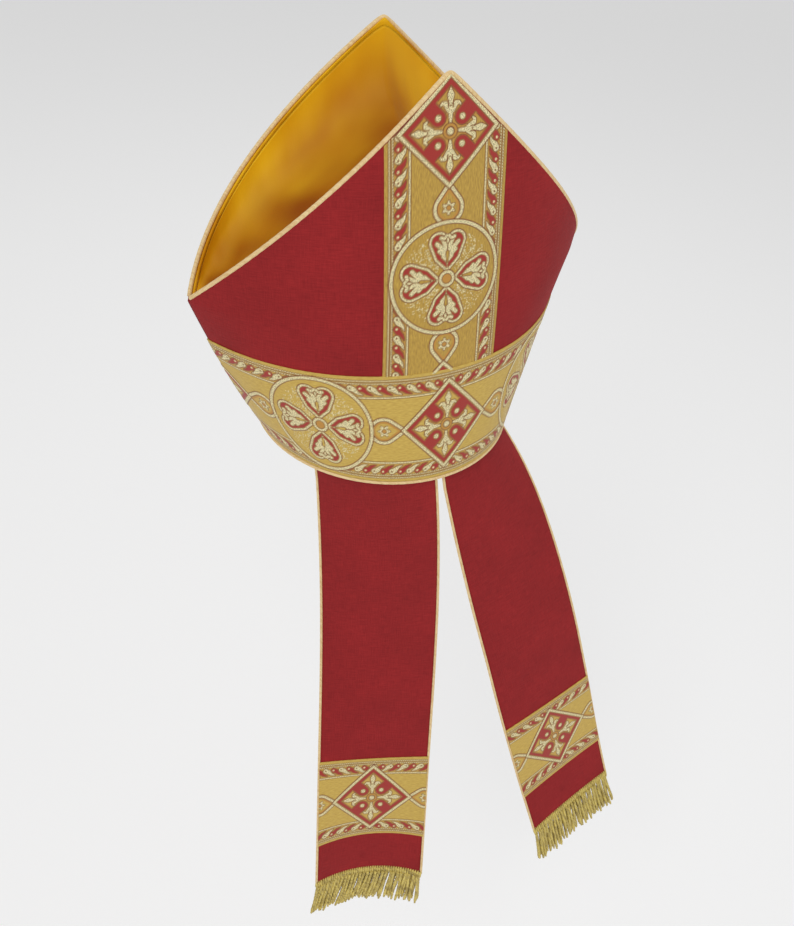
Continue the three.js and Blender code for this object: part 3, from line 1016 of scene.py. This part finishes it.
@dataclass
class Gusset:
    """Satin web slung between the two slopes, with a valley along the middle."""

    form: Form
    lift: float = -4.6
    inset: float = 2.2
    top: float = 281
    dip: float = 0.8
    crisp: float = 3.0          # how far the tip is eased along the seams
    relax: float = 26.0         # and out in the web
    drag_height: float = 2.4    # broad drags across the web
    pleat_depth: float = 5.0    # folds that run down into the valley
    pucker: float = 1.3         # small puckers beside the seams
    valley_shade_strength: float = 0.95      # how far the valley is darkened with painted shade
    thickness: float = 1.26
    columns: int = 161
    rows: int = 55

    def height(self, along: Array, ease: float) -> Array:
        """Height of the seam: top - ease ln(1 + e^((top - slope) / ease)), a slope with its tip eased."""
        slope_z = self.form.peak_height - np.abs(along) * self.form.slope - self.inset
        return self.top - ease * np.log1p(np.exp((self.top - slope_z) / ease))

    def end(self, side: Side, along: Array) -> Array:
        """Line where the web is sewn to a lining: below the slope, but never above top.

        Args:
            side: which half.
            along: cloth length from the centre line.

        Returns:
            (..., 3) points, mm.
        """
        z = self.height(along, self.crisp)
        limit = self.form.seam_along(z, self.lift, 0.25)
        return self.form.place(side, np.clip(along, -limit, limit), z, self.lift)

    def build(self, finishes: Finishes) -> None:
        """Make the web: spans between its ends that drop as half an ellipse, drawn into folds.

        At share v across, the drop is dip x half gap x sqrt(1 - (2v - 1)^2), so the web leaves
        either lining downward and no crease shows along the seam.

        Args:
            finishes: the hat's materials.
        """
        reach = self.form.corner_half_width - 5
        u = np.linspace(-1, 1, self.columns)[None, :]
        v = (0.5 - 0.5 * np.cos(np.linspace(0, np.pi, self.rows)))[:, None]
        along = reach * u
        front, back = self.end(Side.FRONT, along), self.end(Side.BACK, along)
        web = front * (1 - v[..., None]) + back * v[..., None]
        half_gap = (back[..., 1] - front[..., 1]) / 2
        bow = np.sqrt(np.clip(1 - (2 * v - 1) ** 2, 0, 1))
        drag = ripple(along + 55 * v, 70 * v + 0 * u, 31, waves=7, pace=0.014)
        pleat = np.sqrt(0.03 + ripple(along * 0.9 - 70 * v, 30 * v + 0 * u, 44, waves=5, pace=0.011) ** 2)
        web[..., 2] -= self.dip * half_gap * bow
        web[..., 2] += (self.height(along, self.relax) - self.height(along, self.crisp)) * smooth(bow, 0, 0.9)
        fold = self.pleat_depth * pleat * bow * smooth(half_gap, 5, 30)
        web[..., 2] += bow * (self.drag_height * drag - fold)
        fine = ripple(along * 2.2 + 40 * v, 90 * v + 0 * u, 52, waves=7, pace=0.02)
        web[..., 1] += self.pucker * np.where(v < 0.5, 1, -1) * smooth(v * (1 - v), 0.0, 0.06) * fine
        below = web - np.array([0, 0, self.thickness])
        points, quads = wall(web, below)
        flat = np.stack([along + 0 * v, v * half_gap * 2.6], -1).reshape(-1, 2)
        # painted shade: how far each point of the web is darkened, deepest in the valley where the gap is
        # wide
        valley_shade_share = np.clip(self.valley_shade_strength * bow ** 1.5 * smooth(half_gap, 2, 16) * (0.8 + 0.4 * drag), 0, 1)
        valley_shade_share = np.concatenate([valley_shade_share.ravel(), valley_shade_share.ravel()])[:, None] * np.ones(3)
        piece = make_piece("gusset_web", points, quads, np.concatenate([flat, flat]), "gold_satin",
                           finishes.satin, "lining_gusset", {"valley_shade": valley_shade_share})
        spans = np.linalg.norm(np.diff(web[self.rows // 2], axis=0), axis=-1)


@dataclass
class HatGalloon:
    """Galloon round the rim and up the middle of each half."""

    form: Form
    band_maker: GalloonMaker = GalloonMaker(GalloonFigure(repeat=99))
    strip_maker: GalloonMaker = GalloonMaker(GalloonFigure(diamond=34.6))
    bottom: float = 0.3
    width: float = 88
    band_columns: int = 490
    band_rows: int = 151
    strip_rows: int = 335
    strip_columns: int = 151
    band_pull: float = 1.08     # the figure is this much tighter along the curved band
    band_shift: float = 5.0     # the back diamond is sewn this far to the wearer's right
    strip_pull: float = 1.03
    strip_press: float = 0.35   # the upright is pressed this far into the cloth
    first_diamond: float = 250.5   # height of the upright's top diamond

    def band(self, side: Side, finishes: Finishes) -> Piece:
        """Half of the ring: the cloth place is a share of the seam width at mid height.

        Args:
            side: which half.
            finishes: the hat's materials.

        Returns:
            The half ring.
        """
        form = self.form
        across = np.linspace(-self.width / 2, self.width / 2, self.band_rows)[:, None]
        z = self.bottom + self.width / 2 + across
        share = np.linspace(-1, 1, self.band_columns)[None, :]
        middle = float(form.half_width(np.array(self.width / 2)))

        def place(lift: Array) -> Array:
            """Layer of the band, its ends mitred on the middle plane."""
            edge = form.seam_along(z, self.band_maker.base_lift)
            return form.place(side, edge * share, z + 0 * share, lift)

        shift = self.band_shift if side is Side.BACK else 0.0
        along = (middle * share + shift) * self.band_pull + 0 * across
        return self.band_maker.strip(f"{side.word}_band_galloon", along, across + 0 * share, place,
                                     finishes.band, "headband_orphrey" if side is Side.BACK else None)

    def upright(self, side: Side, finishes: Finishes) -> Piece:
        """Upright strip, its top cut to the slopes; its first diamond sits in the peak.

        Args:
            side: which half.
            finishes: the hat's materials.

        Returns:
            The strip.
        """
        form = self.form
        aside = np.linspace(-self.width / 2, self.width / 2, self.strip_columns)[None, :]
        low = self.bottom + self.width - 1.5
        top = form.peak_height - 0.9 - np.abs(aside) * form.slope
        z = low + (top - low) * np.linspace(0, 1, self.strip_rows)[:, None]

        def place(lift: Array) -> Array:
            """Layer of the strip."""
            return form.place(side, aside + 0 * z, z, lift - self.strip_press)

        return self.strip_maker.strip(
            f"{side.word}_upright_galloon", (self.first_diamond - z) * self.strip_pull, aside + 0 * z, place,
            finishes.upright, f"{side.word}_orphrey")

    def build(self, finishes: Finishes) -> None:
        """Args:
            finishes: the hat's materials.
        """
        middle = 2 * float(self.form.half_width(np.array(self.width / 2)))
        for side in Side:
            band, upright = self.band(side, finishes), self.upright(side, finishes)


def cord_piece(name: str, points: Array, quads: Array, finishes: Finishes, node: str) -> Piece:
    """Make one piece of piping, its cut place taken as x + y across and z along."""
    flat = np.stack([points[:, 0] + points[:, 1], points[:, 2]], -1)
    return make_piece(name, points, quads, flat, "cream_cord", finishes.cord, node)


@dataclass
class Piping:
    """Cords on the slopes and under the rim."""

    form: Form
    slope_radius: float = 1.5
    rim_radius: float = 1.3
    peak_bend: float = 2.2      # how tightly the slope cord turns over the peak
    sides: int = 14
    steps: int = 420
    rim_steps: int = 480

    def slope_line(self, side: Side) -> Array:
        """Path from corner over the peak to corner, just above the slope, rounded at the top.

        Args:
            side: which half.

        Returns:
            (n, 3) points, mm.
        """
        form = self.form
        clear = 0.45 * self.slope_radius
        reach = form.corner_half_width + 0.5
        along = np.linspace(-reach, reach, self.steps)
        z = form.peak_height + clear - form.slope * (np.sqrt(along ** 2 + self.peak_bend ** 2) - 0.4)
        return form.place(side, along, z, -0.9)

    def build(self, finishes: Finishes) -> None:
        """Make both slope cords and the rim cord.

        Args:
            finishes: the hat's materials.
        """
        def round_cord(radius: float) -> Callable[[Array, Array], Array]:
            """Section with slight thick and thin places."""
            return lambda turn, length: radius * (1 + 0.03 * np.sin(length * 0.9) + 0 * turn)

        for side in Side:
            path = self.slope_line(side)
            keep = side.value * path[:, 1] > self.slope_radius * 0.55
            points, quads = carry(path[keep], round_cord(self.slope_radius), self.sides)
            cord_piece(f"{side.word}_slope_piping", points, quads, finishes, f"{side.word}_edge_piping")
        turn = np.linspace(0, 2 * np.pi, self.rim_steps, endpoint=False)
        ring = np.stack([np.cos(turn), np.sin(turn), 0 * turn], -1) * (self.form.rim_radius + 0.2)
        ring[:, 2] = -self.rim_radius - 0.1
        points, quads = carry(ring, round_cord(self.rim_radius), self.sides, closed=True,
                              upright=(0.0, 0.0, 1.0))
        cord_piece("rim_cord", points, quads, finishes, "rim_piping")


@dataclass(frozen=True)
class Row:
    """One row of a lappet's middle line: place in mm, facing and tilt in degrees."""

    x: float
    y: float
    z: float
    facing: float
    tilt: float


@dataclass
class Lappet:
    """One hanging strip with its piping, galloon and fringe."""

    name: str
    rows: tuple[Row, ...]
    hem_curl: float = 0.0       # how far the hem's edges stand out from its middle
    fringe_slant: float = 0.0   # how far the strands' feet swing towards +across
    seed: int = 1
    tuck: float = 10
    thickness: float = 1.6
    top_width: float = 91.5
    hem_width: float = 94
    top_radius: float = 90.9
    camber_hold: float = 14
    camber_fade: float = 120
    orphrey_to_hem: float = 45.5
    galloon_width: float = 88
    figure_pull: float = 1.06
    centre_lean: float = 0.117
    cord_radius: float = 1.1
    wave_height: float = 0.9    # slight waviness of the hanging cloth
    cloth_grid: tuple[int, int] = (161, 41)
    galloon_grid: tuple[int, int] = (151, 161)
    ribs: int = 46
    rib_length: float = 8.4
    rib_radius: float = 1.25
    strands: int = 84
    strand_radius: float = 1.42
    strand_lengths: tuple[float, float] = (31.5, 39.5)
    strand_twist: float = 9.0   # length of one turn of a strand

    def __post_init__(self) -> None:
        """Work out frames down the middle line, at even shares of the cubic through the rows."""
        t = np.linspace(0, 1, 241)
        knots = np.linspace(0, 1, len(self.rows))
        table = np.array([[r.x, r.y, r.z, r.facing, r.tilt] for r in self.rows])
        curves = [np.polyfit(knots, column, len(self.rows) - 1) for column in table.T]
        values = np.stack([np.polyval(curve, t) for curve in curves], -1)
        slopes = np.stack([np.polyval(np.polyder(curve), t) for curve in curves[:3]], -1)
        self.middle = values[:, :3]
        down = unit(slopes)
        turn, tilt = np.radians(values[:, 3]), np.radians(values[:, 4])
        across = np.stack([np.cos(tilt) * np.cos(turn), np.cos(tilt) * np.sin(turn), np.sin(tilt)], -1)
        across = unit(across - down * np.sum(across * down, -1, keepdims=True))
        self.across, self.out, self.down = across, np.cross(across, down), down
        self.length = np.concatenate([[0], np.cumsum(np.linalg.norm(np.diff(self.middle, axis=0), axis=1))])
        self.hem = float(self.length[-1])

    def half_width(self, along: Array) -> Array:
        """Half the cloth's width, growing evenly to the hem."""
        return (self.top_width + (self.hem_width - self.top_width) * np.clip(along / self.hem, 0, 1)) / 2

    def place(self, along: Array, sideways: Array, lift: Array) -> Array:
        """Point on the strip: an arc across the frame at along, with fading camber and hem curl.

        Args:
            along: place down the strip from the rim.
            sideways: place across it.
            lift: place outward of its middle.

        Returns:
            (..., 3) points, mm.
        """
        along, sideways, lift = np.broadcast_arrays(
            np.asarray(along, float), np.asarray(sideways, float), np.asarray(lift, float))
        reach = np.clip(along, 0, self.hem)

        def blend(values: Array) -> Array:
            """Value of a frame column at each place."""
            return np.stack([np.interp(reach, self.length, values[:, i]) for i in range(3)], -1)

        middle, across, out, down = (blend(v) for v in (self.middle, self.across, self.out, self.down))
        up = np.array([0, -self.centre_lean, 1]) / np.hypot(1, self.centre_lean)
        middle = middle + np.maximum(-along, 0)[..., None] * up
        middle = middle + np.maximum(along - self.hem, 0)[..., None] * down
        camber = np.exp(-np.maximum(along - self.camber_hold, 0) / self.camber_fade) / self.top_radius
        angle = sideways * camber
        share = sideways / self.half_width(along)
        curl = self.hem_curl * smooth(along, self.hem * 0.55, self.hem) * (share ** 2 - 0.35)
        wave = ripple(along, sideways * 0.4, self.seed, waves=5, pace=0.007) * smooth(along, 5, 90)
        radius = 1 / camber + lift
        return (middle + across * (radius * np.sin(angle))[..., None]
                + out * (radius * np.cos(angle) - 1 / camber + curl + self.wave_height * wave)[..., None])

    def cloth(self, finishes: Finishes) -> Piece:
        """Strip of cloth from its sewn top to its hem.

        Args:
            finishes: the hat's materials.

        Returns:
            The strip.
        """
        along = np.linspace(-self.tuck, self.hem, self.cloth_grid[0])[:, None]
        share = np.linspace(-1, 1, self.cloth_grid[1])[None, :]
        sideways = share * self.half_width(along)
        face = self.thickness / 2
        round_edge = 0.7 * smooth(1 - np.abs(share), 0, 0.03) + 0.3
        outer = self.place(along, sideways, face * round_edge)
        inner = self.place(along, sideways, -face * round_edge)
        points, quads = wall(outer, inner)
        flat = np.stack([sideways, along + 0 * share], -1).reshape(-1, 2)
        return make_piece(f"{self.name}_strip", points, quads, np.concatenate([flat, flat]), "red_cloth",
                          finishes.cloth, self.name)

    def galloon(self, finishes: Finishes) -> Piece:
        """Piece of galloon laid across above the hem, a diamond in its middle.

        Args:
            finishes: the hat's materials.

        Returns:
            The galloon.
        """
        centre = self.hem - self.orphrey_to_hem - self.galloon_width / 2
        across = np.linspace(-self.galloon_width / 2, self.galloon_width / 2, self.galloon_grid[0])[:, None]
        share = np.linspace(-1, 1, self.galloon_grid[1])[None, :]
        along = centre + across
        sideways = share * (self.half_width(along) + 0.3)

        def place(lift: Array) -> Array:
            """Layer of the galloon over the cloth's face."""
            return self.place(along + 0 * share, sideways, self.thickness / 2 + lift)

        return GalloonMaker().strip(f"{self.name}_galloon", sideways * self.figure_pull, across + 0 * share,
                                    place, finishes.band, f"{self.name}_orphrey")

    def cords(self, finishes: Finishes) -> list[Piece]:
        """Piping down both long edges.

        Args:
            finishes: the hat's materials.

        Returns:
            Both cords.
        """
        made = []
        for sign in (1, -1):
            along = np.linspace(-4, self.hem + 1.5, 260)
            aside = sign * (self.half_width(along) + self.cord_radius * 0.75)
            path = self.place(along, aside, 0 * along)
            points, quads = carry(path, lambda turn, length: self.cord_radius * (
                1 + 0.03 * np.sin(length * 1.1) + 0 * turn), 10)
            word = "inner" if (self.rows[0].x > 0) == (sign < 0) else "outer"
            made.append(cord_piece(f"{self.name}_{word}_cord", points, quads, finishes,
                                   f"{self.name}_{word}_piping"))
        return made

    def fringe(self, finishes: Finishes) -> Piece:
        """Gimp heading of upright ribs with twisted strands hanging from it, as one mesh.

        A strand is a two-lobed section that turns as it goes down, carried along a line
        that leaves the heading and wanders a little aside.

        Args:
            finishes: the hat's materials.

        Returns:
            The fringe.
        """
        rng = np.random.default_rng(self.seed + 70)
        parts: list[tuple[Array, Array]] = []
        half = self.hem_width / 2 + 1.5
        for k in range(self.ribs):
            aside = -half + 2 * half * (k + 0.5) / self.ribs
            along = self.hem - 2.4 + np.linspace(0, self.rib_length, 9)
            path = self.place(along, np.full(9, aside) + 0.5 * np.sin(np.linspace(0, 3, 9)), np.full(9, 0.9))
            parts.append(carry(path, lambda turn, length: self.rib_radius * np.sin(
                np.clip(length / self.rib_length, 0, 1) * 2.5 + 0.35) + 0 * turn, 8))
        for k in range(self.strands):
            row = k % 3 - 1
            share = -1 + 2 * (k + 0.5 + rng.uniform(-0.3, 0.3)) / self.strands
            length = rng.uniform(*self.strand_lengths) - 2.5 * share * np.sign(self.fringe_slant)
            q = np.linspace(0, 1, 20)
            drift = rng.normal(0, 1.0) + 3.0 * share + self.fringe_slant * (1 - 0.5 * share ** 2)
            aside = share * (half - 1) + drift * q ** 1.2 + 0.4 * np.sin(5 * q + k)
            lift = 1.5 * row + rng.normal(0, 0.6) * q + 0.4 * np.sin(4 * q + 2 * k)
            path = self.place(self.hem + 4.0 + length * q, aside, lift)
            start = rng.uniform(0, 6)
            taper = self.strand_radius * (1 - 0.35 * smooth(q, 0.9, 1.0))[:, None]

            def twist(turn: Array, gone: Array, taper: Array = taper, start: float = start) -> Array:
                """Two lobes that turn with the strand's twist."""
                swirl = turn - 2 * np.pi * gone / self.strand_twist - start
                return taper * (0.7 + 0.36 * np.abs(np.cos(swirl)))

            parts.append(carry(path, twist, 8))
        shift = np.cumsum([0] + [len(p) for p, _ in parts[:-1]])
        points = np.concatenate([p for p, _ in parts])
        faces = np.concatenate([f + s for (_, f), s in zip(parts, shift)])
        flat = np.stack([points[:, 0] + points[:, 1], points[:, 2] * 0.6], -1)
        return make_piece(f"{self.name}_fringe_strands", points, faces, flat, "gold_fringe", finishes.fringe,
                          f"{self.name}_fringe")

    def build(self, finishes: Finishes) -> None:
        """Args:
            finishes: the hat's materials.
        """
        cloth = self.cloth(finishes)
        extra = [self.galloon(finishes), *self.cords(finishes), self.fringe(finishes)]


def lappet_pair() -> list[Lappet]:
    """The two lappets, each with a row a third of the way further down.

    Returns:
        Left and right lappet.
    """
    reach = Lappet.top_width / 2 + 0.8 + 2 * Lappet.cord_radius + 1.0
    offset = 5.0   # the parting is this far to the wearer's right

    def top(arc: float) -> Row:
        """Row at the rim, from its signed arc length off the centre back."""
        radius = Lappet.top_radius
        turn = arc / radius
        return Row(radius * np.sin(turn), radius * np.cos(turn), 0, -np.degrees(turn), 0)

    left = (top(reach - offset), Row(34, 96, -142, -24, -4),
            Row(43, 130, -283, -18, 0), Row(51.7, 158, -413, -17, 0))
    right = (top(-reach - offset), Row(-88, 111, -136, 12, -13),
             Row(-123, 140, -271, 9, -12), Row(-154.8, 171.8, -399, 13, -9))
    return [Lappet("left_lappet", left, hem_curl=12, fringe_slant=8, seed=3),
            Lappet("right_lappet", right, hem_curl=2, seed=8)]


# ---- studio ---------------------------------------------------------------------------------------


@dataclass(frozen=True)
class Lamp:
    """A square soft light aimed at the hat: place and side in metres, power in watts."""

    name: str
    place: tuple[float, float, float]
    size: float
    power: float

    def build(self) -> None:
        """Put the light into the scene."""
        data = bpy.data.lights.new(self.name, "AREA")
        data.size = self.size
        data.energy = self.power
        lamp = bpy.data.objects.new(self.name, data)
        lamp.location = self.place
        lamp.rotation_euler = (-Vector(self.place)).to_track_quat("-Z", "Y").to_euler()
        bpy.context.scene.collection.objects.link(lamp)


@dataclass(frozen=True)
class Studio:
    """Pale floor, soft lights and the camera behind and above the hat."""

    turn: float = 29.66       # camera round from +Y towards +X, degrees
    rise: float = 40.0        # camera above the horizon, degrees
    roll: float = 6.41
    distance: float = 0.9593
    aim: tuple[float, float] = (0.01819, -0.0630)   # to the right, and up
    lens: float = 45.1
    floor_z: float = -1.1
    floor_size: float = 30
    world_strength: float = 0.55
    lamps: tuple[Lamp, ...] = (
        Lamp("key", (1.3, 1.5, 1.9), 1.1, 24),
        Lamp("fill", (-1.5, 1.4, 1.1), 1.6, 6),
        Lamp("front", (-0.8, -1.8, 1.6), 1.6, 12),
    )

    def camera(self) -> None:
        """Place the camera from turn, rise, roll and distance."""
        a, e, r = np.radians([self.turn, self.rise, self.roll])
        back = Vector((np.sin(a) * np.cos(e), np.cos(a) * np.cos(e), np.sin(e)))
        ahead = -back
        right = ahead.cross(Vector((0, 0, 1))).normalized()
        up = right.cross(ahead)
        aim = right * self.aim[0] + Vector((0, 0, self.aim[1]))
        x_axis = right * np.cos(r) + up * np.sin(r)
        y_axis = up * np.cos(r) - right * np.sin(r)
        data = bpy.data.cameras.new("camera")
        data.lens = self.lens
        data.sensor_width = 36
        data.clip_start = 0.01
        camera = bpy.data.objects.new("camera", data)
        matrix = Matrix((x_axis, y_axis, back)).transposed().to_4x4()
        matrix.translation = aim + back * self.distance
        camera.matrix_world = matrix
        bpy.context.scene.collection.objects.link(camera)
        bpy.context.scene.camera = camera

    def build(self) -> None:
        """Set up floor, world, lights and camera."""
        scene = bpy.context.scene
        scene.view_settings.view_transform = "Standard"
        world = bpy.data.worlds.new("studio")
        scene.world = world
        world.use_nodes = True
        sky = world.node_tree.nodes["Background"]
        sky.inputs["Color"].default_value = linear("#ffffff")
        sky.inputs["Strength"].default_value = self.world_strength
        bpy.ops.mesh.primitive_plane_add(size=self.floor_size, location=(0, 0, self.floor_z))
        floor = bpy.context.object
        floor.name = "floor"
        material, _ = new_material("studio_floor", {
            "Base Color": linear("#f2f2f2"), "Emission Color": linear("#ffffff"), "Emission Strength": 0.16,
            "Roughness": 0.9, "Specular IOR Level": 0.1})
        floor.data.materials.append(material)
        for lamp in self.lamps:
            lamp.build()
        self.camera()


def main() -> None:
    """Build the hat in order."""
    logging.basicConfig(level=logging.INFO, format="%(name)s %(message)s")
    Studio().build()
    finishes = Finishes.make()
    form = Form()
    for side in Side:
        Panel(form, side).build(finishes)
    Gusset(form).build(finishes)
    HatGalloon(form).build(finishes)
    Piping(form).build(finishes)
    for lappet in lappet_pair():
        lappet.build(finishes)


if __name__ == "__main__":
    main()
